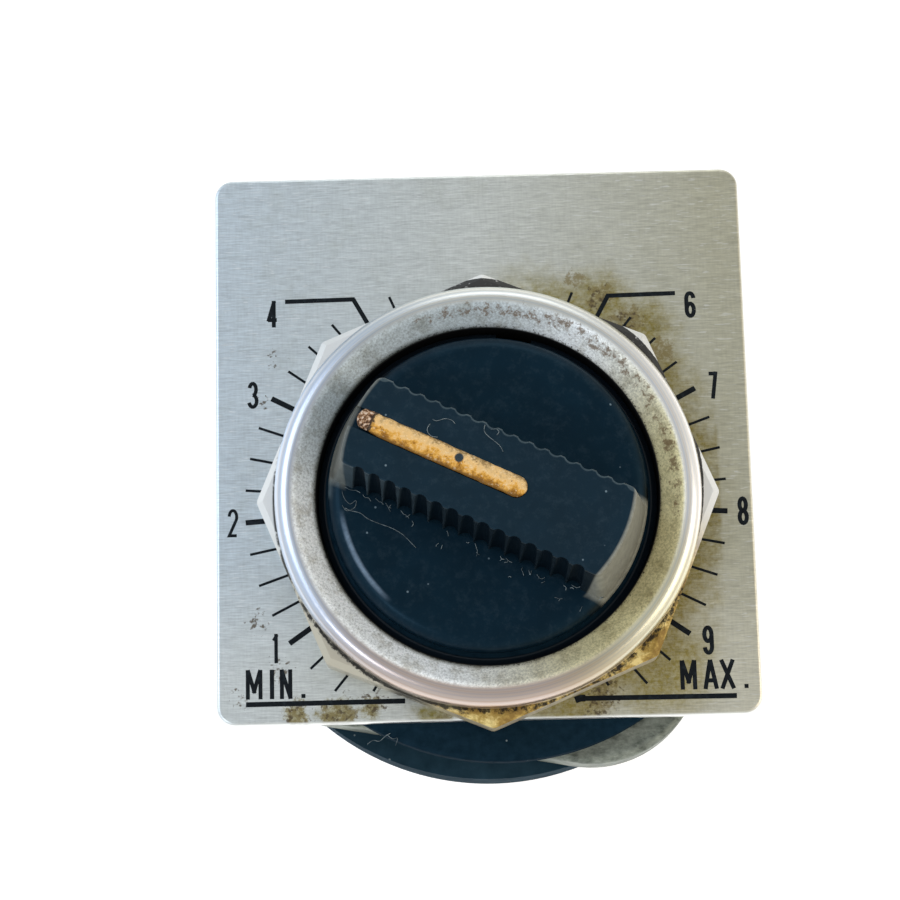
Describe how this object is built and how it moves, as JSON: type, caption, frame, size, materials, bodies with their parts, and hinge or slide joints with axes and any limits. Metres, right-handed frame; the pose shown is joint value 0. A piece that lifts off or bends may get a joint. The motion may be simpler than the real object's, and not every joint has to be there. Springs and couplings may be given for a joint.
{
  "type": "panel potentiometer",
  "caption": "Round-bush panel potentiometer with fluted bar knob, octagonal mounting nut, square dial plate, cast flange and rear resistor unit with screw terminals.",
  "frame": {"origin": "on the shaft axis, at the back face of the dial plate, where the front face of the panel lies", "axes": "+Z along the shaft towards the user; +Y towards the top of the dial; +X to its right"},
  "size_m": [0.0481, 0.0545, 0.0511],
  "materials": {
    "brushed_aluminium": "brushed, aged",
    "chrome_plate": "bright rim, satin dish, grimy",
    "black_phenolic": "moulded, dusty",
    "pointer_paint": "aged filled line",
    "steel": "turned",
    "zinc_plated_steel": "zinc plated",
    "black_rubber": "moulded",
    "brass": "turned and stamped",
    "cast_zinc": "die cast, dull",
    "brown_phenolic": "moulded",
    "carbon_track": "moulded carbon"
  },
  "bodies": {
    "root": {"dial_plate": "brushed_aluminium", "mounting_nut": "chrome_plate", "spindle_seal": "black_rubber", "panel_gasket": "black_rubber", "operator_body": "cast_zinc", "rear_housing": "black_phenolic", "housing_screws": "zinc_plated_steel", "housing_lockwashers": "zinc_plated_steel", "pot_bushing": "brass", "pot_nut": "brass", "pot_lockwasher": "steel", "pot_front_plate": "steel", "pot_base": "brown_phenolic", "resistance_track": "carbon_track", "collector_ring": "brass", "pot_cover": "zinc_plated_steel", "terminals": "brass", "terminal_screws": "brass"},
    "rotor": {"knob": "black_phenolic", "pointer_line": "pointer_paint", "spindle": "steel", "thrust_washer": "steel", "retaining_clip": "steel", "shaft_coupling": "brass", "coupling_screws": "steel", "pot_shaft": "steel", "wiper_carrier": "brown_phenolic", "wiper_brushes": "carbon_track"}
  },
  "joints": [
    {"name": "knob_turn", "type": "hinge", "parent": "root", "child": "rotor", "pos_m": [0, 0, 0], "axis": [0, 0, 1], "range_deg": [-220.3, 91.7]}
  ]
}
